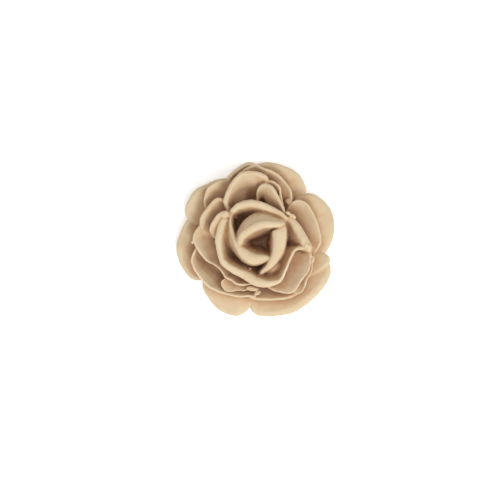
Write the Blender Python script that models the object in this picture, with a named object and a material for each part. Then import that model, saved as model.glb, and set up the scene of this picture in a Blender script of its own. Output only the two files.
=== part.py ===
"""Rose applique: one cast wood-pulp rose with a flat back, lying face up.

The origin is the middle of the flat back. +Z comes out of the face, +X is the right and +Y the top.
Each petal is a solid with a smooth rim line, a rounded lip, an inner face that falls to the floor of its
cup and an outer flank that runs down to the back. The petals are joined into one body and cut flat.
"""
import math

import bmesh
import bpy
import numpy as np
from mathutils import Matrix, Vector

MM = 0.001
BUD_CENTRE = (2.0, -1.2)  # millimetres, the axis that all the petals grow from
RIM_STEP = 1.5  # millimetres between two sections along a rim
BELOW_BACK = 1.0  # millimetres that a petal reaches below the back before it is cut
GRAIN = 0.2  # millimetres, the finest form that the joined skin keeps
FACETS = 9600  # triangles of the finished solid

FACE_STEPS = (0.08, 0.25, 0.5, 0.8, 1.0)  # places on the inner face, as parts of its run
LIP_STEPS = (0.0, 0.3, 0.6, 0.85, 1.0)  # places round the lip, from the inner face to the outermost point
FLANK_STEPS = (0.35, 0.7, 1.0)  # places on the outer flank, as parts of its drop
LIP_THICK = 1.3  # millimetres, the most that half a lip is thick
SINK_RUN = 1.0  # millimetres in which a petal sinks to its root past the inner face
ROOT = 2.0  # millimetres, the height of all the roots under their neighbours
END_ROUND = 1.8  # millimetres along the rim in which its two ends come down to the floor of the cup

WOOD_PULP = ("wood_pulp", (0.52, 0.39, 0.25), 0.72)


class Petal:
    """One petal, in millimetres.

    rim: plan points of the rim, counterclockwise seen from the face, with the ends under other petals
    top: heights of the rim, evenly spaced along it
    lip: half widths of the rounded lip, evenly spaced along it
    floor, run: height that the inner face comes to, and how far in from the lip it gets there (one value,
        or some that are evenly spaced along the rim)
    cup: 1 for a straight inner face, more for a hollow one
    flank, drop: how far the outer side spreads (or tucks in, below 0) and the height in which it does so
    """

    def __init__(self, name, rim, top, lip, floor, run, cup=1.2, flank=(-1.2,), drop=3.6):
        self.name = name
        self.rim = rim
        self.top = top
        self.lip = lip
        self.floor = floor
        self.run = run if isinstance(run, tuple) else (run,)
        self.cup = cup
        self.flank = flank
        self.drop = drop


OUTER = dict(flank=(-0.8,), drop=2.6)
RING = dict(flank=(-2.0,), drop=6.0)

OUTER_PETALS = (
    Petal("outer_top_right",
          [(13.4, 11.6), (15.7, 14.4), (15.9, 16.6), (13.7, 20.7), (8.9, 23.4), (3.0, 24.4),
           (-3.5, 22.6)],
          (2.4, 3.6, 3.0), (0.8, 1.1, 1.0), 2.2, 7.0, **OUTER),
    Petal("outer_right",
          [(18.0, -6.0), (21.8, -4.4), (24.1, -0.9), (25.0, 3.8), (24.2, 8.6), (21.5, 12.3),
           (17.8, 14.5), (13.5, 14.2)],
          (3.0, 3.2, 3.2), (1.0, 1.9, 1.2), 3.0, 7.0, **OUTER),
    Petal("outer_low_right",
          [(16.5, -12.0), (20.0, -10.4), (23.2, -7.9), (23.6, -6.3), (21.9, -4.3), (18.5, -3.6)],
          (3.6, 3.8, 3.0), (0.7, 1.0, 0.7), 3.2, 5.0, **OUTER),
    Petal("outer_bottom",
          [(-1.5, -20.0), (-1.4, -22.0), (0.4, -23.9), (4.0, -24.4), (8.0, -24.1), (11.8, -23.2),
           (15.3, -21.3), (18.3, -18.9), (21.1, -15.8), (23.2, -12.4), (23.9, -9.6), (22.9, -7.2),
           (20.0, -5.5)],
          (2.8, 3.2, 3.4, 3.4, 3.0), (1.0, 1.4, 1.7, 1.2), 1.8, (5.0, 4.4, 6.0, 7.0), **OUTER),
    Petal("outer_low_left",
          [(-15.0, -12.0), (-16.7, -14.6), (-15.2, -18.3), (-11.8, -22.1), (-6.8, -24.2), (-3.4, -23.2),
           (-0.8, -20.4)],
          (2.2, 2.2, 2.6), (0.8, 1.2, 1.0), 2.6, (2.0, 3.0, 6.5, 4.0), 0.8, **OUTER),
    Petal("outer_left",
          [(-19.0, 7.6), (-21.7, 6.2), (-23.9, 1.8), (-25.0, -2.5), (-24.1, -7.2), (-21.6, -11.3),
           (-18.6, -13.0), (-14.5, -12.4)],
          (2.8, 3.4, 2.6), (0.8, 1.4, 0.8), 2.0, (3.0, 6.0, 5.0, 2.0), **OUTER),
    Petal("outer_top_left",
          [(-6.5, 18.5), (-10.4, 19.4), (-15.3, 17.7), (-19.5, 15.2), (-22.1, 10.4), (-21.8, 7.0),
           (-19.5, 4.8)],
          (3.2, 3.6, 3.2), (0.8, 1.3, 0.8), 3.0, 6.5, **OUTER),
)

SECOND_PETALS = (
    Petal("second_top_back",
          [(-7.2, 15.6), (-8.2, 18.4), (-7.1, 20.1), (-5.5, 21.4), (-3.7, 22.6), (-1.8, 23.3),
           (0.2, 22.6)],
          (4.8, 5.4, 5.2), (0.3, 0.3), 4.8, 1.0),
    Petal("second_top",
          [(10.2, 9.4), (11.6, 12.0), (11.6, 14.4), (10.5, 17.0), (7.7, 20.2), (4.9, 21.9), (2.2, 22.8),
           (0.4, 23.8), (-1.6, 23.2), (-3.6, 22.1), (-5.5, 20.6), (-7.3, 18.4), (-8.0, 15.6)],
          (6.4, 6.6, 7.2, 7.4, 6.0), (0.45, 0.45), 4.2, (4.5, 4.5, 3.0, 2.4)),
    Petal("second_top_left",
          [(-7.0, 18.8), (-11.0, 18.7), (-14.6, 16.8), (-16.1, 13.8), (-16.1, 10.6), (-14.6, 7.6)],
          (5.6, 6.6, 6.0), (0.45, 0.45), 3.4, 6.5),
    Petal("second_right",
          [(16.4, -8.6), (18.2, -5.3), (20.6, -1.6), (20.6, 1.8), (19.2, 6.4), (16.8, 10.9),
           (14.2, 12.5), (11.8, 12.0), (9.6, 9.6)],
          (6.2, 6.4, 6.8, 7.2, 6.8), (0.5, 0.45), 3.6, 7.0),
    Petal("second_bottom",
          [(-3.4, -17.0), (-1.2, -18.9), (4.0, -19.4), (9.9, -18.9), (13.4, -17.4), (15.4, -15.0),
           (16.6, -11.0)],
          (5.0, 5.8, 5.6), (0.5, 0.6), 2.3, 4.0),
    Petal("second_low_left",
          [(-17.6, -0.6), (-19.0, -2.8), (-20.1, -5.0), (-20.4, -7.0), (-19.4, -9.6), (-17.6, -12.3),
           (-15.6, -14.6), (-13.4, -16.0), (-10.4, -17.2), (-5.3, -18.3), (-1.0, -17.9), (1.5, -16.4)],
          (6.8, 7.4, 7.0, 6.6, 5.6), (0.35, 0.35, 0.45, 0.3), 2.3, (2.0, 5.0, 5.0, 3.0)),
)

THIRD_PETALS = (
    Petal("third_top",
          [(4.0, 16.0), (4.2, 18.9), (3.0, 20.5), (0.2, 21.4), (-3.6, 21.4), (-6.4, 19.6), (-8.7, 16.2),
           (-10.1, 12.3), (-9.3, 9.5), (-7.6, 7.6)],
          (8.6, 10.4, 10.8, 10.6, 9.6), (0.7, 0.9, 0.7), 2.6, (4.5, 7.0, 7.0, 6.0, 4.0), 1.0),
    Petal("third_crescent",
          [(9.4, 9.6), (8.4, 13.0), (8.0, 16.1), (6.3, 18.1), (4.2, 18.6), (2.5, 17.6)],
          (8.8, 9.4, 8.6), (0.4, 0.4), 7.2, 2.0),
    Petal("third_small",
          [(10.0, 7.2), (8.8, 10.4), (7.1, 14.1), (5.5, 16.7), (3.3, 17.7), (1.2, 16.9), (0.2, 14.7),
           (0.4, 12.0)],
          (11.6, 11.2, 11.0, 10.0, 7.4), (0.4, 0.5, 0.8, 0.5, 0.3), 6.4, (3.0, 4.0, 5.0, 3.0, 2.0), 0.85),
    Petal("third_upper_left",
          [(-8.6, 12.4), (-11.4, 13.2), (-13.6, 12.1), (-15.6, 9.6), (-17.4, 7.0), (-17.6, 4.6),
           (-16.9, 2.6), (-15.6, 1.0)],
          (8.6, 9.2, 9.2, 8.8, 7.4), (0.6, 0.7, 0.7, 0.6), 5.4, (4.0, 6.0, 4.0), 1.1),
    Petal("third_left",
          [(-16.0, 6.6), (-17.8, 4.4), (-19.2, 2.4), (-19.8, 0.2), (-19.2, -1.8), (-17.8, -4.2),
           (-16.2, -6.3), (-14.9, -7.3), (-13.4, -8.0), (-12.1, -8.9), (-10.8, -10.3), (-9.9, -11.9),
           (-9.0, -12.6), (-7.7, -13.2), (-6.4, -14.2), (-4.6, -14.7), (-2.0, -14.5), (0.5, -14.0)],
          (7.6, 8.2, 8.4, 8.6, 9.2, 9.4), (0.5, 0.4), 4.2, (5.0, 7.2, 5.8, 3.8, 2.6), 1.0),
    Petal("third_low_left",
          [(-8.8, -11.6), (-10.8, -13.2), (-10.5, -15.3), (-8.6, -16.6), (-5.5, -16.3), (-2.5, -16.1),
           (0.5, -14.8)],
          (7.0, 7.4, 7.6), (0.35, 0.3), 6.0, (2.4, 3.6, 2.0)),
    Petal("third_low_right_back",
          [(11.0, -17.0), (13.2, -17.3), (14.8, -16.6), (15.8, -14.8), (16.4, -12.8), (17.6, -10.8),
           (18.2, -8.6), (17.6, -6.4)],
          (6.8, 7.8, 7.4), (0.3, 0.3), 6.8, 1.6),
    Petal("third_low_right",
          [(2.6, -14.6), (5.8, -16.3), (8.0, -16.9), (10.2, -17.2), (12.1, -16.6), (13.4, -15.2),
           (14.3, -13.6), (15.5, -12.0), (16.7, -10.4), (17.4, -8.2), (17.4, -5.9), (16.5, -3.7)],
          (8.2, 8.8, 9.0, 8.4), (0.4, 0.35), 5.4, (4.0, 7.0, 7.0, 5.0)),
)

RING_PETALS = (
    Petal("ring_top",
          [(11.2, 5.6), (9.4, 7.9), (6.4, 9.8), (2.4, 11.7), (-1.7, 12.5), (-5.5, 11.5), (-7.8, 9.4),
           (-8.5, 7.6)],
          (12.4, 13.4, 14.0, 13.8, 12.4), (0.7, 1.0, 1.25, 1.2, 0.6), 4.0, (1.6, 3.2, 3.6, 3.2, 1.2),
          1.3, **RING),
    Petal("ring_small_left",
          [(-8.7, 9.1), (-10.2, 8.8), (-12.3, 7.6), (-14.2, 4.5), (-14.4, 2.4), (-13.2, 0.4)],
          (12.0, 12.4, 12.2, 11.6, 9.0), (0.3, 0.6, 0.6, 0.4), 10.8, (0.4, 3.2, 2.4, 0.6), 1.1, **RING),
    Petal("ring_left",
          [(-9.4, 8.2), (-11.2, 5.8), (-12.6, 1.0), (-12.4, -2.8), (-11.1, -7.4), (-8.0, -10.2),
           (-3.9, -12.5), (-0.5, -14.6), (2.6, -15.2), (5.0, -14.9)],
          (12.6, 13.2, 13.2, 13.4, 13.2, 12.4), (0.9, 1.2, 0.95, 1.2, 1.5, 1.2), 4.0,
          (0.8, 3.2, 3.2, 3.2, 2.0), 1.3, **RING),
    Petal("ring_right",
          [(-1.6, -13.4), (1.0, -14.6), (3.4, -15.1), (5.8, -14.6), (8.2, -13.2), (9.6, -10.4),
           (11.3, -6.4), (12.8, -3.7), (15.2, -3.4), (17.0, -3.5), (17.2, -1.2), (14.9, 3.2),
           (12.4, 6.4), (9.4, 8.2)],
          (12.6, 12.8, 12.6, 12.8, 13.4, 12.8, 12.0), (1.4, 1.2, 0.5, 0.45, 0.7, 1.5, 1.4, 0.9), 4.0,
          (2.0, 4.0, 6.0, 5.0, 1.6), 1.2, (-2.0, -2.0, -2.0, -2.0, -1.2, 0.8, -0.4, -2.0, -2.0), 6.0),
)

BUD_PETALS = (
    Petal("bud_left",
          [(-7.2, 9.4), (-8.2, 7.4), (-8.4, 5.0), (-8.1, 2.7), (-7.6, 0.4), (-6.8, -2.1), (-5.4, -4.7),
           (-3.5, -6.8), (-0.8, -8.0), (2.0, -7.6), (4.6, -6.5), (6.0, -5.2)],
          (11.0, 12.4, 14.0, 14.9, 15.0, 14.0), (0.5, 0.5, 1.0, 1.8, 1.7, 0.5), 2.6,
          (1.2, 2.6, 3.0, 3.0, 2.4), 1.2, (1.6, 2.0, 0.8, 0.4, 0.3), 4.6),
    Petal("bud_right",
          [(0.6, -11.1), (1.9, -10.8), (3.9, -9.7), (5.4, -8.6), (6.8, -7.1), (8.2, -5.0), (9.1, -2.8),
           (9.6, -0.3), (9.7, 2.0), (9.5, 4.0), (8.8, 5.8)],
          (12.4, 14.6, 15.8, 16.2, 16.0, 15.2), (0.3, 0.9, 1.5, 2.0, 2.2, 2.3), 2.6, 1.8, 1.2, (0.4,),
          6.0),
    Petal("bud_top",
          [(9.9, 4.0), (8.4, 5.4), (5.0, 5.9), (1.6, 5.9), (-1.7, 4.6), (-3.6, 3.1), (-5.0, 1.8),
           (-5.6, 0.2), (-5.6, -1.4), (-4.6, -3.0)],
          (16.0, 16.5, 16.6, 16.2, 14.4), (0.7, 1.2, 1.4, 1.2, 0.8), 2.6, 2.6, 1.1,
          (0.2, 1.6, 2.8, 2.2, 0.8, 0.2), 4.2),
)

PETALS = OUTER_PETALS + SECOND_PETALS + THIRD_PETALS + RING_PETALS + BUD_PETALS


def clear_scene():
    for item in list(bpy.data.objects):
        bpy.data.objects.remove(item, do_unlink=True)


def smooth_line(knots, places):
    """Values at places 0 to 1 on the smooth line through evenly numbered knots (a Catmull-Rom spline)."""
    knots = np.asarray(knots, dtype=float)
    if len(knots) == 1:
        return np.repeat(knots, len(places), axis=0)
    before = 2 * knots[0] - knots[1]
    after = 2 * knots[-1] - knots[-2]
    line = np.concatenate([[before], knots, [after]])
    spans = len(knots) - 1
    values = []
    for place in places:
        span = min(int(place * spans), spans - 1)
        t = place * spans - span
        p0, p1, p2, p3 = line[span:span + 4]
        bend = 2 * p0 - 5 * p1 + 4 * p2 - p3
        twist = 3 * (p1 - p2) + p3 - p0
        values.append(p1 + 0.5 * t * (p2 - p0 + t * (bend + t * twist)))
    return np.array(values)


def even_places(knots, step):
    """Places along the knots' smooth line that are about one step apart."""
    fine = np.linspace(0.0, 1.0, 40 * len(knots))
    points = smooth_line(knots, fine)
    length = np.concatenate([[0.0], np.cumsum(np.linalg.norm(np.diff(points, axis=0), axis=1))])
    count = max(4, round(length[-1] / step))
    return np.interp(np.linspace(0.0, length[-1], count + 1), length, fine)


def outward(points, centre):
    """Plan directions square to the rim, turned to point away from the centre at the rim's two ends."""
    along = np.gradient(points, axis=0)
    square = np.stack([along[:, 1], -along[:, 0]], axis=1)
    square /= np.linalg.norm(square, axis=1)[:, None]
    radial = points - centre
    radial /= np.linalg.norm(radial, axis=1)[:, None]
    share = np.linspace(-1.0, 1.0, len(points))[:, None] ** 8
    mixed = square * (1.0 - share) + radial * share
    return mixed / np.linalg.norm(mixed, axis=1)[:, None]


def rounded_ends(tops, floor, rim):
    """The rim's heights, rounded down to the floor at its two ends."""
    length = np.concatenate([[0.0], np.cumsum(np.linalg.norm(np.diff(rim, axis=0), axis=1))])
    to_end = np.minimum(np.minimum(length, length[-1] - length) / END_ROUND, 1.0)
    return floor + (tops - floor) * (0.1 + 0.9 * np.sqrt(1.0 - (1.0 - to_end) ** 2))


def petal_sections(petal):
    """For each place on the rim, points from the inner face over the lip to the underside."""
    centre = np.array(BUD_CENTRE)
    places = even_places(petal.rim, RIM_STEP)
    shares = np.linspace(0.0, 1.0, len(places))
    rim = smooth_line(petal.rim, places)
    tops = rounded_ends(smooth_line(petal.top, shares), petal.floor, rim)
    lips = smooth_line(petal.lip, shares)
    runs = smooth_line(petal.run, shares)
    flanks = smooth_line(petal.flank, shares)
    sections = []
    for point, away, top, lip, run, flank in zip(rim, outward(rim, centre), tops, lips, runs, flanks):
        thick = min(lip, LIP_THICK)
        slope = petal.cup * (top - petal.floor) / run
        first_turn = math.pi / 2 + math.atan(slope * lip / thick)
        rounded = []
        for part in LIP_STEPS:
            turn = first_turn * (1.0 - part)
            spot = point + away * lip * (math.cos(turn) - 1.0)
            rounded.append((*spot, top + thick * (math.sin(turn) - 1.0)))
        inner = np.array(rounded[0][:2])
        inward = centre - inner
        reach = np.linalg.norm(inward)
        run = min(run, 0.9 * reach)
        face = []
        for part in FACE_STEPS:
            spot = inner + inward * part * run / reach
            face.append((*spot, petal.floor + (rounded[0][2] - petal.floor) * (1.0 - part) ** petal.cup))
        sunk = inner + inward * min(run + SINK_RUN, 0.95 * reach) / reach
        face.append((*sunk, ROOT))
        side = []
        for part in FLANK_STEPS:
            spot = point + away * flank * math.sin(part * math.pi / 2)
            side.append((*spot, top - thick - petal.drop * part))
        foot = point + away * flank
        side = [(x, y, max(z, -0.5 * BELOW_BACK)) for x, y, z in side] + [(*foot, -BELOW_BACK)]
        sections.append(face[::-1] + rounded + side)
    return sections


def add_petal(mesh, petal):
    """Adds one petal to the mesh as a closed shell of its own."""
    rows = [[mesh.verts.new(Vector(spot) * MM) for spot in section] for section in petal_sections(petal)]
    root = mesh.verts.new(Vector((*BUD_CENTRE, ROOT)) * MM)
    foot = mesh.verts.new(Vector((*BUD_CENTRE, -BELOW_BACK)) * MM)
    for row, following in zip(rows, rows[1:]):
        mesh.faces.new((root, row[0], following[0]))
        mesh.faces.new((foot, following[-1], row[-1]))
        for a, b, c, d in zip(row, row[1:], following[1:], following):
            mesh.faces.new((a, b, c, d))
    mesh.faces.new([root, foot, *reversed(rows[0])])
    mesh.faces.new([foot, root, *rows[-1]])


def object_from(mesh, name):
    data = bpy.data.meshes.new(name)
    mesh.to_mesh(data)
    mesh.free()
    made = bpy.data.objects.new(name, data)
    bpy.context.collection.objects.link(made)
    return made


def material(name, colour, roughness):
    made = bpy.data.materials.new(name)
    made.use_nodes = True
    shader = made.node_tree.nodes["Principled BSDF"]
    shader.inputs["Base Color"].default_value = (*colour, 1.0)
    shader.inputs["Roughness"].default_value = roughness
    shader.inputs["Metallic"].default_value = 0.0
    return made


def apply_modifiers(item):
    shaped = item.evaluated_get(bpy.context.evaluated_depsgraph_get())
    data = bpy.data.meshes.new_from_object(shaped)
    item.modifiers.clear()
    item.data = data


def merge_shells(item):
    """Melts the overlapping petals into one skin."""
    melt = item.modifiers.new("melt", "REMESH")
    melt.mode = "VOXEL"
    melt.voxel_size = GRAIN * MM
    apply_modifiers(item)


def cut_back(item):
    """Keeps the outer skin above the back, closed with a flat face."""
    mesh = bmesh.new()
    mesh.from_mesh(item.data)
    everything = mesh.verts[:] + mesh.edges[:] + mesh.faces[:]
    bmesh.ops.bisect_plane(mesh, geom=everything, plane_co=(0, 0, 0), plane_no=(0, 0, 1), clear_inner=True)
    keep_largest_shell(mesh)
    bmesh.ops.holes_fill(mesh, edges=[edge for edge in mesh.edges if edge.is_boundary])
    bmesh.ops.triangulate(mesh, faces=mesh.faces[:])
    mesh.to_mesh(item.data)
    mesh.free()


def keep_largest_shell(mesh):
    """Removes loose shells, such as the skin of a gap that is sealed between petals."""
    mesh.verts.index_update()
    seen = [False] * len(mesh.verts)
    shells = []
    for start in mesh.verts:
        if seen[start.index]:
            continue
        seen[start.index] = True
        shell = [start]
        for vert in shell:
            for edge in vert.link_edges:
                other = edge.other_vert(vert)
                if not seen[other.index]:
                    seen[other.index] = True
                    shell.append(other)
        shells.append(shell)
    largest = max(shells, key=len)
    loose = [vert for shell in shells if shell is not largest for vert in shell]
    bmesh.ops.delete(mesh, geom=loose, context="VERTS")


def centre_in_plan(item):
    """Moves the mesh so that the middle of its outline is the origin."""
    corners = [Vector(corner) for corner in item.bound_box]
    low = Vector(min(corner[axis] for corner in corners) for axis in range(3))
    high = Vector(max(corner[axis] for corner in corners) for axis in range(3))
    middle = (low + high) / 2
    item.data.transform(Matrix.Translation((-middle.x, -middle.y, 0.0)))


def reduce_facets(item):
    fewer = item.modifiers.new("fewer", "DECIMATE")
    fewer.ratio = FACETS / len(item.data.polygons)
    apply_modifiers(item)


def rose():
    mesh = bmesh.new()
    for petal in PETALS:
        add_petal(mesh, petal)
    bmesh.ops.triangulate(mesh, faces=mesh.faces[:])
    made = object_from(mesh, "rose_applique")
    merge_shells(made)
    cut_back(made)
    reduce_facets(made)
    centre_in_plan(made)
    made.data.name = made.name
    made.data.materials.append(material(*WOOD_PULP))
    made.data.shade_smooth()
    made.data.set_sharp_from_angle(angle=math.radians(40))


clear_scene()
rose()
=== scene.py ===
"""The finished rose applique: a cast wood-pulp rose, seen from straight above on a white table.

The petals are the same as the solid's, with the same rims, heights and floors. The skin is finer, and has
the crumbs that the mould left. Its colour has painted light: a painted highlight on the lips and painted
shade in the hollows and gaps.
"""
import math

import bmesh
import bpy
import numpy as np
from mathutils import Matrix, Vector, noise


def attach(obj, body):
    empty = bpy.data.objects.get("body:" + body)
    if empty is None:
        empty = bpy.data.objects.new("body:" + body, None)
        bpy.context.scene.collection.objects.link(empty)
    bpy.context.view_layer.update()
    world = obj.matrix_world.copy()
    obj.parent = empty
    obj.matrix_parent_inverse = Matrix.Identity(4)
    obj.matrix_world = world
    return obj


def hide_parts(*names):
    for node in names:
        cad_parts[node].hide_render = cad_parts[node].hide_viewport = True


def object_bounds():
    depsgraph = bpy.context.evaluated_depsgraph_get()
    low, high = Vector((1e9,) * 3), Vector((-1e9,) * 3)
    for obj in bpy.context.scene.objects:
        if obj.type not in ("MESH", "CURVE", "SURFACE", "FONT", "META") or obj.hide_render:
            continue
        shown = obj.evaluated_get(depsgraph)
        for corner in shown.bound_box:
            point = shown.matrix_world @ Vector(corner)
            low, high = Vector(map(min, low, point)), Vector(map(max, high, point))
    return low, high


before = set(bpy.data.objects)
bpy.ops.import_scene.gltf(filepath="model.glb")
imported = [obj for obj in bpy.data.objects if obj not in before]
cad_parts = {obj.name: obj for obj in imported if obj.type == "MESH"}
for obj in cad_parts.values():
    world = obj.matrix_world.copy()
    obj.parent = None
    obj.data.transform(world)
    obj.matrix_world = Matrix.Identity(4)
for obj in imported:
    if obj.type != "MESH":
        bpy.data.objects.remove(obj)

CAD_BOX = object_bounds()

MM = 0.001
BUD_CENTRE = (2.0, -1.2)  # millimetres, the axis that all the petals grow from
RIM_STEP = 0.5  # millimetres between two sections along a rim
BELOW_BACK = 1.0  # millimetres that a petal reaches below the back before it is cut
GRAIN = 0.16  # millimetres, the finest form that the joined skin keeps
FACETS = 190000  # triangles of the finished skin

FACE_STEPS = tuple(np.linspace(0.05, 1.0, 14))  # places on the inner face, as parts of its run
LIP_STEPS = tuple(np.linspace(0.0, 1.0, 11))  # places round the lip, from the inner face outwards
FLANK_STEPS = tuple(np.linspace(0.1, 1.0, 10))  # places on the outer flank, as parts of its drop
LIP_THICK = 1.3  # millimetres, the most that half a lip is thick
SINK_RUN = 1.0  # millimetres in which a petal sinks to its root past the inner face
ROOT = 2.0  # millimetres, the height of all the roots under their neighbours
END_ROUND = 1.8  # millimetres along the rim in which its two ends come down to the floor of the cup
END_LOW = 0.1  # height that is left at the very ends, as a share of the rim's
LINE_STEPS = 40  # points for each knot of a rim, to measure its length
FEWEST_STEPS = 4  # sections of the shortest rim
END_TURN = 8  # the higher, the less of a rim turns away from the centre at its ends
FACE_SHARE = 0.9  # the most of the way to the centre that an inner face runs
SINK_SHARE = 0.95  # the most of that way that its sunken edge reaches

SOFTEN_SHARE = 0.5
SOFTEN_ROUNDS = 2  # rounds in which the joined skin is smoothed

WAVE_SIZE = 1.6  # millimetres from one shallow wave of the skin to the next
WAVE_DEPTH = 0.13  # millimetres
GRAIN_SIZE = 0.45  # millimetres between the grains of the pressed pulp
GRAIN_DEPTH = 0.035  # millimetres
BACK_EDGE = 0.4  # millimetres above the back that stay smooth
CLEAR = 0.000002  # metres that the skin stays inside the solid's box

# The grid and the reaches below find the hollows and the lips, for the painted shade and the painted
# highlight in the skin's colour.
CELL = 0.3  # millimetres, the pitch of the grid of heights that shows where the rose is hollow
CELLS = 220  # cells along each side of the grid
FACE_PARTS = 3  # parts of a triangle's side between the points that it gives the grid
TURNS = 16  # directions in which a point looks for walls around it
NEAR_REACHES = (0.5, 0.9, 1.4, 2.0)  # millimetres
FAR_REACHES = (1.4, 2.2, 3.4, 5.2)  # millimetres
FAR_EASE = 1.0  # millimetres, makes low far walls count less
FAR_SHARE = 1.05  # weight of the walls further off
FAR_POWER = 1.8  # above 1, low walls further off count less
BETWEEN_SHARE = 0.6  # weight of near walls on two opposite sides
OPEN_REACH = 2.0  # millimetres, a point with no rose this far off is on the outer side
OPEN_HEIGHT = 0.5  # millimetres, what is lower counts as no rose
OPEN_SHARE = 2.5  # how fast a point counts as open with the directions that leave the rose

SKIN_AND_PAINTED_LIGHT = (
    (0.0, (0.73, 0.62, 0.46)),
    (0.25, (0.605, 0.478, 0.315)),
    (0.36, (0.555, 0.385, 0.228)),
    (0.56, (0.50, 0.32, 0.185)),
    (0.90, (0.42, 0.25, 0.16)),
)  # painted-light value, and the colour there: the pulp's own colour at the open value, paler towards 0 as a painted highlight on lips, browner towards 1 as painted shade in hollows and gaps
OPEN_VALUE = 0.25  # the painted-light value in the open, with no painted light: a sharp lip has 0 and the deepest gap 1
LIP_REACH = 0.8  # millimetres, where the rose falls away this far off on two sides there is a lip, which gets a painted highlight
LIP_FALL = 0.45  # steepness on both sides from which a lip counts
LIP_GAIN = 3.0  # how fast a lip counts as sharp beyond that
EVEN_ROUNDS = 4  # rounds in which the painted-light values even out between neighbouring points
TINT = (
    (0.35, (0.96, 0.93, 0.89)),
    (0.65, (1.03, 1.04, 1.04)),
)  # noise value and its share of the colour
TINT_SCALE = 180.0  # blotches in a metre
TINT_DETAIL = 5.0
ROUGHNESS = 0.75
SPECULAR = 0.3
BUMP_SCALE = 1400.0  # grains in a metre
BUMP_DETAIL = 4.0
BUMP_STRENGTH = 0.25
BUMP_HEIGHT = 0.00006  # metres

FLOOR_HALF = 3.0  # metres
FLOOR_SHADE = 0.95
FLOOR_ROUGHNESS = 0.9
FLOOR_DROP = 0.00002  # metres that the floor lies under the back
FLOOR_GLOW = 0.2  # keeps the floor white up to the rose's edge
WORLD_STRENGTH = 0.55
LAMP_SIZE = 0.30  # metres
LIGHTS = (
    ("overhead", (0.0, 0.0, 0.70), 0.5),
    ("front", (0.14, -0.43, 0.54), 2.4),
    ("right", (0.45, 0.0, 0.54), 1.3),
    ("low_left", (-0.61, 0.0, 0.35), 0.9),
)  # name, place in metres and power in watts

PHOTO_WIDTH = 500  # pixels
PHOTO_HEIGHT = 499  # pixels
ROSE_MIDDLE_PX = (255.5, 239.2)  # pixels from the left and from the top
ROSE_WIDTH_PX = 159.0  # pixels
ROSE_WIDTH = 50.0  # millimetres
MIDDLE_HEIGHT = 0.006  # metres, the height that the camera's scale and the lamps are set for
CAMERA_HEIGHT = 1.2  # metres
SENSOR_WIDTH = 36.0  # millimetres
FARTHEST_SEEN = 10.0  # metres

CRUMBS = (
    ((-1.0, -15.4, 8.0), (1.7, 0.9, 0.8), -8),
    ((0.6, -16.8, 7.0), (1.2, 0.9, 0.8), 30),
    ((-1.0, -17.9, 5.6), (1.1, 0.5, 0.6), -5),
    ((-3.6, -16.0, 7.4), (0.8, 0.3, 0.4), 20),
    ((10.2, 8.2, 11.9), (0.9, 0.55, 0.6), -30),
    ((11.9, 7.2, 11.9), (1.1, 0.5, 0.6), -45),
    ((11.2, 7.4, 12.2), (0.5, 0.4, 0.4), 0),
    ((-1.7, -9.3, 10.2), (0.4, 0.35, 1.2), 0),
    ((10.3, 11.8, 5.8), (1.3, 0.9, 1.0), -60),
    ((16.2, -2.2, 12.7), (1.2, 1.5, 1.1), 15),
    ((14.4, -2.6, 11.6), (1.4, 0.9, 1.2), 0),
    ((-9.6, 7.7, 11.6), (1.5, 1.3, 1.3), 20),
    ((18.0, -6.4, 7.2), (0.7, 1.3, 0.7), -15),
    ((-16.4, 5.2, 8.0), (0.9, 2.4, 0.9), -14),
    ((-19.7, -0.9, 7.6), (0.5, 0.5, 0.5), 0),
    ((17.0, -5.1, 7.5), (0.9, 1.3, 0.8), 0),
)  # place, half sizes in millimetres and turn in degrees of each crumb or fold that the mould left
SWELLS = (
    ((5.9, -9.2, 6.9), (3.2, 1.5, 2.4), 40),
)  # place, half sizes in millimetres and turn in degrees of each smooth swell in the bottom of a hollow
CRUMB_NOISE = 0.35  # unevenness of a crumb, as a share of its size
CRUMB_LUMPS = 1.7  # lumps in half a crumb
CRUMB_DIVISIONS = 3  # divisions of its facets


class Petal:
    """One petal, in millimetres.

    name: what the petal is called
    rim: plan points of the rim, counterclockwise seen from the face, with the ends under other petals
    top: heights of the rim, evenly spaced along it
    lip: half widths of the rounded lip, evenly spaced along it
    floor, run: height that the inner face comes to, and how far in from the lip it gets there (one value,
        or some that are evenly spaced along the rim)
    cup: 1 for a straight inner face, more for a hollow one
    flank, drop: how far the outer side spreads (or tucks in, below 0) and the height in which it does so
    """

    def __init__(self, name, rim, top, lip, floor, run, cup=1.2, flank=(-1.2,), drop=3.6):
        self.name = name
        self.rim = rim
        self.top = top
        self.lip = lip
        self.floor = floor
        self.run = run if isinstance(run, tuple) else (run,)
        self.cup = cup
        self.flank = flank
        self.drop = drop


OUTER = dict(flank=(-0.8,), drop=2.6)
RING = dict(flank=(-2.0,), drop=6.0)

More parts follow.
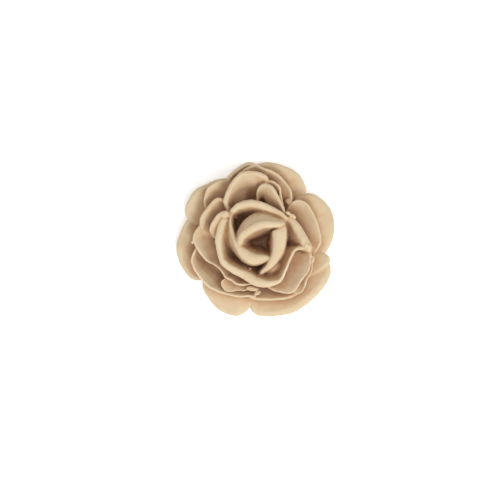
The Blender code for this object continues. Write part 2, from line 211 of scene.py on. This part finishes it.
OUTER_PETALS = (
    Petal("outer_top_right",
          [(13.4, 11.6), (15.7, 14.4), (15.9, 16.6), (13.7, 20.7), (8.9, 23.4), (3.0, 24.4),
           (-3.5, 22.6)],
          (2.4, 3.6, 3.0), (0.8, 1.1, 1.0), 2.2, 7.0, **OUTER),
    Petal("outer_right",
          [(18.0, -6.0), (21.8, -4.4), (24.1, -0.9), (25.0, 3.8), (24.2, 8.6), (21.5, 12.3),
           (17.8, 14.5), (13.5, 14.2)],
          (3.0, 3.2, 3.2), (1.0, 1.9, 1.2), 3.0, 7.0, **OUTER),
    Petal("outer_low_right",
          [(16.5, -12.0), (20.0, -10.4), (23.2, -7.9), (23.6, -6.3), (21.9, -4.3), (18.5, -3.6)],
          (3.6, 3.8, 3.0), (0.7, 1.0, 0.7), 3.2, 5.0, **OUTER),
    Petal("outer_bottom",
          [(-1.5, -20.0), (-1.4, -22.0), (0.4, -23.9), (4.0, -24.4), (8.0, -24.1), (11.8, -23.2),
           (15.3, -21.3), (18.3, -18.9), (21.1, -15.8), (23.2, -12.4), (23.9, -9.6), (22.9, -7.2),
           (20.0, -5.5)],
          (2.8, 3.2, 3.4, 3.4, 3.0), (1.0, 1.4, 1.7, 1.2), 1.8, (5.0, 4.4, 6.0, 7.0), **OUTER),
    Petal("outer_low_left",
          [(-15.0, -12.0), (-16.7, -14.6), (-15.2, -18.3), (-11.8, -22.1), (-6.8, -24.2), (-3.4, -23.2),
           (-0.8, -20.4)],
          (2.2, 2.2, 2.6), (0.8, 1.2, 1.0), 2.6, (2.0, 3.0, 6.5, 4.0), 0.8, **OUTER),
    Petal("outer_left",
          [(-19.0, 7.6), (-21.7, 6.2), (-23.9, 1.8), (-25.0, -2.5), (-24.1, -7.2), (-21.6, -11.3),
           (-18.6, -13.0), (-14.5, -12.4)],
          (2.8, 3.4, 2.6), (0.8, 1.4, 0.8), 2.0, (3.0, 6.0, 5.0, 2.0), **OUTER),
    Petal("outer_top_left",
          [(-6.5, 18.5), (-10.4, 19.4), (-15.3, 17.7), (-19.5, 15.2), (-22.1, 10.4), (-21.8, 7.0),
           (-19.5, 4.8)],
          (3.2, 3.6, 3.2), (0.8, 1.3, 0.8), 3.0, 6.5, **OUTER),
)

SECOND_PETALS = (
    Petal("second_top_back",
          [(-7.2, 15.6), (-8.2, 18.4), (-7.1, 20.1), (-5.5, 21.4), (-3.7, 22.6), (-1.8, 23.3),
           (0.2, 22.6)],
          (4.8, 5.4, 5.2), (0.3, 0.3), 4.8, 1.0),
    Petal("second_top",
          [(10.2, 9.4), (11.6, 12.0), (11.6, 14.4), (10.5, 17.0), (7.7, 20.2), (4.9, 21.9), (2.2, 22.8),
           (0.4, 23.8), (-1.6, 23.2), (-3.6, 22.1), (-5.5, 20.6), (-7.3, 18.4), (-8.0, 15.6)],
          (6.4, 6.6, 7.2, 7.4, 6.0), (0.45, 0.45), 4.2, (4.5, 4.5, 3.0, 2.4)),
    Petal("second_top_left",
          [(-7.0, 18.8), (-11.0, 18.7), (-14.6, 16.8), (-16.1, 13.8), (-16.1, 10.6), (-14.6, 7.6)],
          (5.6, 6.6, 6.0), (0.45, 0.45), 3.4, 6.5),
    Petal("second_right",
          [(16.4, -8.6), (18.2, -5.3), (20.6, -1.6), (20.6, 1.8), (19.2, 6.4), (16.8, 10.9),
           (14.2, 12.5), (11.8, 12.0), (9.6, 9.6)],
          (6.2, 6.4, 6.8, 7.2, 6.8), (0.5, 0.45), 3.6, 7.0),
    Petal("second_bottom",
          [(-3.4, -17.0), (-1.2, -18.9), (4.0, -19.4), (9.9, -18.9), (13.4, -17.4), (15.4, -15.0),
           (16.6, -11.0)],
          (5.0, 5.8, 5.6), (0.5, 0.6), 2.3, 4.0),
    Petal("second_low_left",
          [(-17.6, -0.6), (-19.0, -2.8), (-20.1, -5.0), (-20.4, -7.0), (-19.4, -9.6), (-17.6, -12.3),
           (-15.6, -14.6), (-13.4, -16.0), (-10.4, -17.2), (-5.3, -18.3), (-1.0, -17.9), (1.5, -16.4)],
          (6.8, 7.4, 7.0, 6.6, 5.6), (0.35, 0.35, 0.45, 0.3), 2.3, (2.0, 5.0, 5.0, 3.0)),
)

THIRD_PETALS = (
    Petal("third_top",
          [(4.0, 16.0), (4.2, 18.9), (3.0, 20.5), (0.2, 21.4), (-3.6, 21.4), (-6.4, 19.6), (-8.7, 16.2),
           (-10.1, 12.3), (-9.3, 9.5), (-7.6, 7.6)],
          (8.6, 10.4, 10.8, 10.6, 9.6), (0.7, 0.9, 0.7), 2.6, (4.5, 7.0, 7.0, 6.0, 4.0), 1.0),
    Petal("third_crescent",
          [(9.4, 9.6), (8.4, 13.0), (8.0, 16.1), (6.3, 18.1), (4.2, 18.6), (2.5, 17.6)],
          (8.8, 9.4, 8.6), (0.4, 0.4), 7.2, 2.0),
    Petal("third_small",
          [(10.0, 7.2), (8.8, 10.4), (7.1, 14.1), (5.5, 16.7), (3.3, 17.7), (1.2, 16.9), (0.2, 14.7),
           (0.4, 12.0)],
          (11.6, 11.2, 11.0, 10.0, 7.4), (0.4, 0.5, 0.8, 0.5, 0.3), 6.4, (3.0, 4.0, 5.0, 3.0, 2.0), 0.85),
    Petal("third_upper_left",
          [(-8.6, 12.4), (-11.4, 13.2), (-13.6, 12.1), (-15.6, 9.6), (-17.4, 7.0), (-17.6, 4.6),
           (-16.9, 2.6), (-15.6, 1.0)],
          (8.6, 9.2, 9.2, 8.8, 7.4), (0.6, 0.7, 0.7, 0.6), 5.4, (4.0, 6.0, 4.0), 1.1),
    Petal("third_left",
          [(-16.0, 6.6), (-17.8, 4.4), (-19.2, 2.4), (-19.8, 0.2), (-19.2, -1.8), (-17.8, -4.2),
           (-16.2, -6.3), (-14.9, -7.3), (-13.4, -8.0), (-12.1, -8.9), (-10.8, -10.3), (-9.9, -11.9),
           (-9.0, -12.6), (-7.7, -13.2), (-6.4, -14.2), (-4.6, -14.7), (-2.0, -14.5), (0.5, -14.0)],
          (7.6, 8.2, 8.4, 8.6, 9.2, 9.4), (0.5, 0.4), 4.2, (5.0, 7.2, 5.8, 3.8, 2.6), 1.0),
    Petal("third_low_left",
          [(-8.8, -11.6), (-10.8, -13.2), (-10.5, -15.3), (-8.6, -16.6), (-5.5, -16.3), (-2.5, -16.1),
           (0.5, -14.8)],
          (7.0, 7.4, 7.6), (0.35, 0.3), 6.0, (2.4, 3.6, 2.0)),
    Petal("third_low_right_back",
          [(11.0, -17.0), (13.2, -17.3), (14.8, -16.6), (15.8, -14.8), (16.4, -12.8), (17.6, -10.8),
           (18.2, -8.6), (17.6, -6.4)],
          (6.8, 7.8, 7.4), (0.3, 0.3), 6.8, 1.6),
    Petal("third_low_right",
          [(2.6, -14.6), (5.8, -16.3), (8.0, -16.9), (10.2, -17.2), (12.1, -16.6), (13.4, -15.2),
           (14.3, -13.6), (15.5, -12.0), (16.7, -10.4), (17.4, -8.2), (17.4, -5.9), (16.5, -3.7)],
          (8.2, 8.8, 9.0, 8.4), (0.4, 0.35), 5.4, (4.0, 7.0, 7.0, 5.0)),
)

RING_PETALS = (
    Petal("ring_top",
          [(11.2, 5.6), (9.4, 7.9), (6.4, 9.8), (2.4, 11.7), (-1.7, 12.5), (-5.5, 11.5), (-7.8, 9.4),
           (-8.5, 7.6)],
          (12.4, 13.4, 14.0, 13.8, 12.4), (0.7, 1.0, 1.25, 1.2, 0.6), 4.0, (1.6, 3.2, 3.6, 3.2, 1.2),
          1.3, **RING),
    Petal("ring_small_left",
          [(-8.7, 9.1), (-10.2, 8.8), (-12.3, 7.6), (-14.2, 4.5), (-14.4, 2.4), (-13.2, 0.4)],
          (12.0, 12.4, 12.2, 11.6, 9.0), (0.3, 0.6, 0.6, 0.4), 10.8, (0.4, 3.2, 2.4, 0.6), 1.1, **RING),
    Petal("ring_left",
          [(-9.4, 8.2), (-11.2, 5.8), (-12.6, 1.0), (-12.4, -2.8), (-11.1, -7.4), (-8.0, -10.2),
           (-3.9, -12.5), (-0.5, -14.6), (2.6, -15.2), (5.0, -14.9)],
          (12.6, 13.2, 13.2, 13.4, 13.2, 12.4), (0.9, 1.2, 0.95, 1.2, 1.5, 1.2), 4.0,
          (0.8, 3.2, 3.2, 3.2, 2.0), 1.3, **RING),
    Petal("ring_right",
          [(-1.6, -13.4), (1.0, -14.6), (3.4, -15.1), (5.8, -14.6), (8.2, -13.2), (9.6, -10.4),
           (11.3, -6.4), (12.8, -3.7), (15.2, -3.4), (17.0, -3.5), (17.2, -1.2), (14.9, 3.2),
           (12.4, 6.4), (9.4, 8.2)],
          (12.6, 12.8, 12.6, 12.8, 13.4, 12.8, 12.0), (1.4, 1.2, 0.5, 0.45, 0.7, 1.5, 1.4, 0.9), 4.0,
          (2.0, 4.0, 6.0, 5.0, 1.6), 1.2, (-2.0, -2.0, -2.0, -2.0, -1.2, 0.8, -0.4, -2.0, -2.0), 6.0),
)

BUD_PETALS = (
    Petal("bud_left",
          [(-7.2, 9.4), (-8.2, 7.4), (-8.4, 5.0), (-8.1, 2.7), (-7.6, 0.4), (-6.8, -2.1), (-5.4, -4.7),
           (-3.5, -6.8), (-0.8, -8.0), (2.0, -7.6), (4.6, -6.5), (6.0, -5.2)],
          (11.0, 12.4, 14.0, 14.9, 15.0, 14.0), (0.5, 0.5, 1.0, 1.8, 1.7, 0.5), 2.6,
          (1.2, 2.6, 3.0, 3.0, 2.4), 1.2, (1.6, 2.0, 0.8, 0.4, 0.3), 4.6),
    Petal("bud_right",
          [(0.6, -11.1), (1.9, -10.8), (3.9, -9.7), (5.4, -8.6), (6.8, -7.1), (8.2, -5.0), (9.1, -2.8),
           (9.6, -0.3), (9.7, 2.0), (9.5, 4.0), (8.8, 5.8)],
          (12.4, 14.6, 15.8, 16.2, 16.0, 15.2), (0.3, 0.9, 1.5, 2.0, 2.2, 2.3), 2.6, 1.8, 1.2, (0.4,),
          6.0),
    Petal("bud_top",
          [(9.9, 4.0), (8.4, 5.4), (5.0, 5.9), (1.6, 5.9), (-1.7, 4.6), (-3.6, 3.1), (-5.0, 1.8),
           (-5.6, 0.2), (-5.6, -1.4), (-4.6, -3.0)],
          (16.0, 16.5, 16.6, 16.2, 14.4), (0.7, 1.2, 1.4, 1.2, 0.8), 2.6, 2.6, 1.1,
          (0.2, 1.6, 2.8, 2.2, 0.8, 0.2), 4.2),
)

PETALS = OUTER_PETALS + SECOND_PETALS + THIRD_PETALS + RING_PETALS + BUD_PETALS


def smooth_line(knots, places):
    """Values at places 0 to 1 on the smooth line through evenly numbered knots (a Catmull-Rom spline)."""
    knots = np.asarray(knots, dtype=float)
    if len(knots) == 1:
        return np.repeat(knots, len(places), axis=0)
    before = 2 * knots[0] - knots[1]
    after = 2 * knots[-1] - knots[-2]
    line = np.concatenate([[before], knots, [after]])
    spans = len(knots) - 1
    values = []
    for place in places:
        span = min(int(place * spans), spans - 1)
        t = place * spans - span
        p0, p1, p2, p3 = line[span:span + 4]
        bend = 2 * p0 - 5 * p1 + 4 * p2 - p3
        twist = 3 * (p1 - p2) + p3 - p0
        values.append(p1 + 0.5 * t * (p2 - p0 + t * (bend + t * twist)))
    return np.array(values)


def even_places(knots, step):
    """Places along the knots' smooth line that are about one step apart."""
    fine = np.linspace(0.0, 1.0, LINE_STEPS * len(knots))
    points = smooth_line(knots, fine)
    length = np.concatenate([[0.0], np.cumsum(np.linalg.norm(np.diff(points, axis=0), axis=1))])
    count = max(FEWEST_STEPS, round(length[-1] / step))
    return np.interp(np.linspace(0.0, length[-1], count + 1), length, fine)


def outward(points, centre):
    """Plan directions square to the rim, turned to point away from the centre at the rim's two ends."""
    along = np.gradient(points, axis=0)
    square = np.stack([along[:, 1], -along[:, 0]], axis=1)
    square /= np.linalg.norm(square, axis=1)[:, None]
    radial = points - centre
    radial /= np.linalg.norm(radial, axis=1)[:, None]
    share = np.linspace(-1.0, 1.0, len(points))[:, None] ** END_TURN
    mixed = square * (1.0 - share) + radial * share
    return mixed / np.linalg.norm(mixed, axis=1)[:, None]


def rounded_ends(tops, floor, rim):
    """The rim's heights, rounded down to the floor at its two ends."""
    length = np.concatenate([[0.0], np.cumsum(np.linalg.norm(np.diff(rim, axis=0), axis=1))])
    to_end = np.minimum(np.minimum(length, length[-1] - length) / END_ROUND, 1.0)
    return floor + (tops - floor) * (END_LOW + (1.0 - END_LOW) * np.sqrt(1.0 - (1.0 - to_end) ** 2))


def petal_sections(petal):
    """For each place on the rim, points from the inner face over the lip to the underside."""
    centre = np.array(BUD_CENTRE)
    places = even_places(petal.rim, RIM_STEP)
    shares = np.linspace(0.0, 1.0, len(places))
    rim = smooth_line(petal.rim, places)
    tops = rounded_ends(smooth_line(petal.top, shares), petal.floor, rim)
    lips = smooth_line(petal.lip, shares)
    runs = smooth_line(petal.run, shares)
    flanks = smooth_line(petal.flank, shares)
    sections = []
    for point, away, top, lip, run, flank in zip(rim, outward(rim, centre), tops, lips, runs, flanks):
        thick = min(lip, LIP_THICK)
        slope = petal.cup * (top - petal.floor) / run
        first_turn = math.pi / 2 + math.atan(slope * lip / thick)
        rounded = []
        for part in LIP_STEPS:
            turn = first_turn * (1.0 - part)
            spot = point + away * lip * (math.cos(turn) - 1.0)
            rounded.append((*spot, top + thick * (math.sin(turn) - 1.0)))
        inner = np.array(rounded[0][:2])
        inward = centre - inner
        reach = np.linalg.norm(inward)
        run = min(run, FACE_SHARE * reach)
        face = []
        for part in FACE_STEPS:
            spot = inner + inward * part * run / reach
            face.append((*spot, petal.floor + (rounded[0][2] - petal.floor) * (1.0 - part) ** petal.cup))
        sunk = inner + inward * min(run + SINK_RUN, SINK_SHARE * reach) / reach
        face.append((*sunk, ROOT))
        side = []
        for part in FLANK_STEPS:
            spot = point + away * flank * math.sin(part * math.pi / 2)
            side.append((*spot, top - thick - petal.drop * part))
        foot = point + away * flank
        side = [(x, y, max(z, -0.5 * BELOW_BACK)) for x, y, z in side] + [(*foot, -BELOW_BACK)]
        sections.append(face[::-1] + rounded + side)
    return sections


def add_petal(mesh, petal):
    """Adds one petal to the mesh as a closed shell of its own."""
    rows = [[mesh.verts.new(Vector(spot) * MM) for spot in section] for section in petal_sections(petal)]
    root = mesh.verts.new(Vector((*BUD_CENTRE, ROOT)) * MM)
    foot = mesh.verts.new(Vector((*BUD_CENTRE, -BELOW_BACK)) * MM)
    for row, following in zip(rows, rows[1:]):
        mesh.faces.new((root, row[0], following[0]))
        mesh.faces.new((foot, following[-1], row[-1]))
        for a, b, c, d in zip(row, row[1:], following[1:], following):
            mesh.faces.new((a, b, c, d))
    mesh.faces.new([root, foot, *reversed(rows[0])])
    mesh.faces.new([foot, root, *rows[-1]])


def object_from(mesh, name):
    data = bpy.data.meshes.new(name)
    mesh.to_mesh(data)
    mesh.free()
    made = bpy.data.objects.new(name, data)
    bpy.context.collection.objects.link(made)
    return made


def add_crumb(mesh, place, half_sizes, turn, unevenness):
    """Adds an ellipsoid, which melts into the petals around it."""
    shape = Matrix.Translation(Vector(place)) @ Matrix.Rotation(math.radians(turn), 4, "Z")
    made = bmesh.ops.create_icosphere(mesh, subdivisions=CRUMB_DIVISIONS, radius=1.0)["verts"]
    for vert in made:
        uneven = 1.0 + unevenness * noise.noise(vert.co * CRUMB_LUMPS + Vector(place))
        spot = Vector(part * half for part, half in zip(vert.co * uneven, half_sizes))
        vert.co = (shape @ spot) * MM


def roughen(item):
    """Gives the skin the shallow waves and the grain of pressed pulp, and keeps the back flat."""
    verts = item.data.vertices
    places = np.empty(len(verts) * 3)
    normals = np.empty(len(verts) * 3)
    verts.foreach_get("co", places)
    verts.foreach_get("normal", normals)
    places = places.reshape(-1, 3)
    spots = places / MM
    heights = np.zeros(len(verts))
    for row in np.flatnonzero(spots[:, 2] > BACK_EDGE):
        spot = Vector(spots[row])
        wave = WAVE_DEPTH * noise.noise(spot / WAVE_SIZE)
        grain = GRAIN_DEPTH * noise.noise(spot / GRAIN_SIZE)
        heights[row] = (wave + grain) * MM
    places += normals.reshape(-1, 3) * heights[:, None]
    verts.foreach_set("co", places.ravel())
    item.data.update()


def apply_modifiers(item):
    shaped = item.evaluated_get(bpy.context.evaluated_depsgraph_get())
    data = bpy.data.meshes.new_from_object(shaped)
    item.modifiers.clear()
    item.data = data


def merge_shells(item):
    """Melts the overlapping petals into one skin, and softens it as a cast is."""
    melt = item.modifiers.new("melt", "REMESH")
    melt.mode = "VOXEL"
    melt.voxel_size = GRAIN * MM
    soften = item.modifiers.new("soften", "SMOOTH")
    soften.factor = SOFTEN_SHARE
    soften.iterations = SOFTEN_ROUNDS
    apply_modifiers(item)


def cut_back(item):
    """Keeps the outer skin above the back, closed with a flat face."""
    mesh = bmesh.new()
    mesh.from_mesh(item.data)
    everything = mesh.verts[:] + mesh.edges[:] + mesh.faces[:]
    up = (0, 0, 1)
    bmesh.ops.bisect_plane(mesh, geom=everything, plane_co=(0, 0, 0), plane_no=up, clear_inner=True)
    keep_largest_shell(mesh)
    bmesh.ops.holes_fill(mesh, edges=[edge for edge in mesh.edges if edge.is_boundary])
    bmesh.ops.triangulate(mesh, faces=mesh.faces[:])
    mesh.to_mesh(item.data)
    mesh.free()


def keep_largest_shell(mesh):
    """Removes loose shells, such as the skin of a gap that is sealed between petals."""
    mesh.verts.index_update()
    seen = [False] * len(mesh.verts)
    shells = []
    for start in mesh.verts:
        if seen[start.index]:
            continue
        seen[start.index] = True
        shell = [start]
        for vert in shell:
            for edge in vert.link_edges:
                other = edge.other_vert(vert)
                if not seen[other.index]:
                    seen[other.index] = True
                    shell.append(other)
        shells.append(shell)
    largest = max(shells, key=len)
    loose = [vert for shell in shells if shell is not largest for vert in shell]
    bmesh.ops.delete(mesh, geom=loose, context="VERTS")


def reduce_facets(item):
    fewer = item.modifiers.new("fewer", "DECIMATE")
    fewer.ratio = FACETS / len(item.data.polygons)
    apply_modifiers(item)


def fit_to_solid(item):
    """Centres the skin in the solid's box, and draws it in where the waves reach past the box."""
    spots = np.array([vert.co for vert in item.data.vertices])
    low, high = spots.min(axis=0), spots.max(axis=0)
    box_low, box_high = np.array(CAD_BOX[0]), np.array(CAD_BOX[1])
    middle = (low + high) / 2
    size = np.minimum((box_high - box_low - CLEAR) / (high - low), 1.0)
    item.data.transform(Matrix.Translation((-middle[0], -middle[1], -low[2])))
    item.data.transform(Matrix.Diagonal((*size, 1.0)))
    box_middle = (box_low + box_high) / 2
    item.data.transform(Matrix.Translation((box_middle[0], box_middle[1], box_low[2] + CLEAR / 2)))


def rise(grid, spots, turn, reaches, ease):
    """How high the grid of heights stands over each spot in one direction: 0 level, 1 a tall wall."""
    steepest = np.zeros(len(spots))
    for reach in reaches:
        column = cells(spots[:, 0] + reach * math.cos(turn))
        row = cells(spots[:, 1] + reach * math.sin(turn))
        steepest = np.maximum(steepest, (grid[row, column] - spots[:, 2]) / (reach + ease))
    return np.sin(np.arctan(steepest)) ** 2


def beyond(grid, spots, turn):
    """Tells, point by point, whether the rose has ended a short way off in one direction."""
    column = cells(spots[:, 0] + OPEN_REACH * math.cos(turn))
    row = cells(spots[:, 1] + OPEN_REACH * math.sin(turn))
    return grid[row, column] < OPEN_HEIGHT


def fall(grid, spots, turn):
    """How steeply the rose falls away from each spot in one direction, beyond what a lip needs."""
    column = cells(spots[:, 0] + LIP_REACH * math.cos(turn))
    row = cells(spots[:, 1] + LIP_REACH * math.sin(turn))
    return np.clip((spots[:, 2] - grid[row, column]) / LIP_REACH - LIP_FALL, 0.0, 1.0)


def cells(distances):
    return np.clip((distances / CELL + CELLS / 2).astype(int), 0, CELLS - 1)


def height_grid(data, spots):
    """The height of the rose's upper side in each cell of a plan grid, 0 beside the rose."""
    corners = np.empty(len(data.polygons) * 3, dtype=int)
    data.polygons.foreach_get("vertices", corners)
    first, second, third = spots[corners.reshape(-1, 3)].transpose(1, 0, 2)
    grid = np.zeros((CELLS, CELLS))
    for along in range(FACE_PARTS + 1):
        for across in range(FACE_PARTS + 1 - along):
            part, other = along / FACE_PARTS, across / FACE_PARTS
            places = first + (second - first) * part + (third - first) * other
            np.maximum.at(grid, (cells(places[:, 1]), cells(places[:, 0])), places[:, 2])
    return grid


def evened(data, values):
    """The values, evened out along the edges of the mesh."""
    ends = np.empty(len(data.edges) * 2, dtype=int)
    data.edges.foreach_get("vertices", ends)
    first, second = ends.reshape(-1, 2).T
    count = np.bincount(ends, minlength=len(values))
    for _ in range(EVEN_ROUNDS):
        total = np.bincount(first, values[second], len(values))
        total += np.bincount(second, values[first], len(values))
        values = (values + total / count) / 2
    return values


def mark_painted_light(item):
    """Writes, for each point, the value that paints light into the skin's colour: 0 on a sharp lip, which
    gets a painted highlight, and 1 in a deep gap, which gets the darkest painted shade.
    """
    data = item.data
    spots = np.empty(len(data.vertices) * 3)
    data.vertices.foreach_get("co", spots)
    spots = spots.reshape(-1, 3) / MM
    grid = height_grid(data, spots)
    turns = np.linspace(0, 2 * math.pi, TURNS, endpoint=False)
    near = [rise(grid, spots, turn, NEAR_REACHES, 0.0) for turn in turns]
    far = [rise(grid, spots, turn, FAR_REACHES, FAR_EASE) for turn in turns]
    between = [np.sqrt(near[turn] * near[turn - TURNS // 2]) for turn in range(TURNS // 2)]
    outside = np.mean([beyond(grid, spots, turn) for turn in turns], axis=0)
    # painted shade: the more walls stand around a point, the browner its colour
    painted_shade = FAR_SHARE * np.mean(far, axis=0) ** FAR_POWER + BETWEEN_SHARE * np.mean(between, axis=0)
    painted_shade = np.clip(painted_shade, 0.0, 1.0) * (1.0 - np.clip(OPEN_SHARE * outside, 0.0, 1.0))
    # painted highlight: a point where the rose falls away on two opposite sides gets a paler colour
    falls = [fall(grid, spots, turn) for turn in turns]
    crests = [np.sqrt(falls[turn] * falls[turn - TURNS // 2]) for turn in range(TURNS // 2)]
    painted_highlight = np.clip(LIP_GAIN * np.mean(crests, axis=0), 0.0, 1.0)
    painted_light_value = evened(data, OPEN_VALUE * (1.0 - painted_highlight) + (1.0 - OPEN_VALUE) * painted_shade)
    layer = data.attributes.new("painted_light_value", "FLOAT", "POINT")
    layer.data.foreach_set("value", painted_light_value.astype(np.float32))


def node(tree, kind, **settings):
    made = tree.nodes.new(kind)
    for name, value in settings.items():
        setattr(made, name, value)
    return made


def ramp(tree, stops, source):
    made = node(tree, "ShaderNodeValToRGB")
    elements = made.color_ramp.elements
    while len(elements) < len(stops):
        elements.new(0.5)
    for element, (place, colour) in zip(elements, stops):
        element.position = place
        element.color = (*colour, 1.0)
    tree.links.new(source, made.inputs["Fac"])
    return made.outputs["Color"]


def wood_pulp():
    made = bpy.data.materials.new("wood_pulp")
    made.use_nodes = True
    tree = made.node_tree
    shader = tree.nodes["Principled BSDF"]
    shader.inputs["Roughness"].default_value = ROUGHNESS
    shader.inputs["Specular IOR Level"].default_value = SPECULAR
    place = node(tree, "ShaderNodeTexCoord")
    # The colour comes from the painted-light values: paler lips are a painted highlight, browner hollows
    # and gaps are painted shade; the noise blotches are the pulp's own uneven tone.
    painted_light_value = node(tree, "ShaderNodeAttribute", attribute_name="painted_light_value")
    pulp_colour_and_painted_light = ramp(tree, SKIN_AND_PAINTED_LIGHT, painted_light_value.outputs["Fac"])
    blotch = node(tree, "ShaderNodeTexNoise")
    blotch.inputs["Scale"].default_value = TINT_SCALE
    blotch.inputs["Detail"].default_value = TINT_DETAIL
    tree.links.new(place.outputs["Object"], blotch.inputs["Vector"])
    tint = ramp(tree, TINT, blotch.outputs["Fac"])
    mixed = node(tree, "ShaderNodeMix", data_type="RGBA", blend_type="MULTIPLY")
    mixed.inputs["Factor"].default_value = 1.0
    tree.links.new(pulp_colour_and_painted_light, mixed.inputs[6])
    tree.links.new(tint, mixed.inputs[7])
    tree.links.new(mixed.outputs[2], shader.inputs["Base Color"])
    grain = node(tree, "ShaderNodeTexNoise")
    grain.inputs["Scale"].default_value = BUMP_SCALE
    grain.inputs["Detail"].default_value = BUMP_DETAIL
    tree.links.new(place.outputs["Object"], grain.inputs["Vector"])
    bump = node(tree, "ShaderNodeBump")
    bump.inputs["Strength"].default_value = BUMP_STRENGTH
    bump.inputs["Distance"].default_value = BUMP_HEIGHT
    tree.links.new(grain.outputs["Fac"], bump.inputs["Height"])
    tree.links.new(bump.outputs["Normal"], shader.inputs["Normal"])
    return made


def rose():
    mesh = bmesh.new()
    for petal in PETALS:
        add_petal(mesh, petal)
    for place, half_sizes, turn in CRUMBS:
        add_crumb(mesh, place, half_sizes, turn, CRUMB_NOISE)
    for place, half_sizes, turn in SWELLS:
        add_crumb(mesh, place, half_sizes, turn, 0.0)
    bmesh.ops.triangulate(mesh, faces=mesh.faces[:])
    made = object_from(mesh, "rose")
    merge_shells(made)
    cut_back(made)
    reduce_facets(made)
    roughen(made)
    fit_to_solid(made)
    # paints a highlight onto the lips and shade into the hollows, through the skin's colour
    mark_painted_light(made)
    made.data.materials.append(wood_pulp())
    made.data.shade_smooth()
    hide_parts("rose_applique")
    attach(made, "root")


def floor():
    mesh = bmesh.new()
    bmesh.ops.create_grid(mesh, x_segments=1, y_segments=1, size=FLOOR_HALF)
    made = object_from(mesh, "floor")
    made.location.z = -FLOOR_DROP
    paint = bpy.data.materials.new("floor_white")
    paint.use_nodes = True
    shader = paint.node_tree.nodes["Principled BSDF"]
    shader.inputs["Base Color"].default_value = (FLOOR_SHADE, FLOOR_SHADE, FLOOR_SHADE, 1.0)
    shader.inputs["Roughness"].default_value = FLOOR_ROUGHNESS
    shader.inputs["Emission Color"].default_value = (1.0, 1.0, 1.0, 1.0)
    shader.inputs["Emission Strength"].default_value = FLOOR_GLOW
    made.data.materials.append(paint)


def light(name, place, power):
    lamp = bpy.data.lights.new(name, "AREA")
    lamp.shape = "DISK"
    lamp.size = LAMP_SIZE
    lamp.energy = power
    made = bpy.data.objects.new(name, lamp)
    made.location = place
    aim = Vector((0.0, 0.0, MIDDLE_HEIGHT)) - Vector(place)
    made.rotation_euler = aim.to_track_quat("-Z", "Y").to_euler()
    bpy.context.collection.objects.link(made)


def studio():
    world = bpy.data.worlds.new("studio")
    bpy.context.scene.world = world
    world.use_nodes = True
    world.node_tree.nodes["Background"].inputs["Color"].default_value = (1.0, 1.0, 1.0, 1.0)
    world.node_tree.nodes["Background"].inputs["Strength"].default_value = WORLD_STRENGTH
    for name, place, power in LIGHTS:
        light(name, place, power)


def camera():
    """Looks straight down, with the rose a little above and right of the picture's middle."""
    lens = bpy.data.cameras.new("camera")
    lens.sensor_width = SENSOR_WIDTH
    pixel = ROSE_WIDTH / ROSE_WIDTH_PX * MM
    lens.lens = SENSOR_WIDTH * (CAMERA_HEIGHT - MIDDLE_HEIGHT) / (PHOTO_WIDTH * pixel)
    lens.clip_end = FARTHEST_SEEN
    made = bpy.data.objects.new("camera", lens)
    off_x = (ROSE_MIDDLE_PX[0] - PHOTO_WIDTH / 2) * pixel
    off_y = (PHOTO_HEIGHT / 2 - ROSE_MIDDLE_PX[1]) * pixel
    made.location = (-off_x, -off_y, CAMERA_HEIGHT)
    bpy.context.collection.objects.link(made)
    bpy.context.scene.camera = made


def colours():
    view = bpy.context.scene.view_settings
    view.view_transform = "Standard"
    view.look = "None"
    view.exposure = 0.0


rose()
floor()
studio()
camera()
colours()
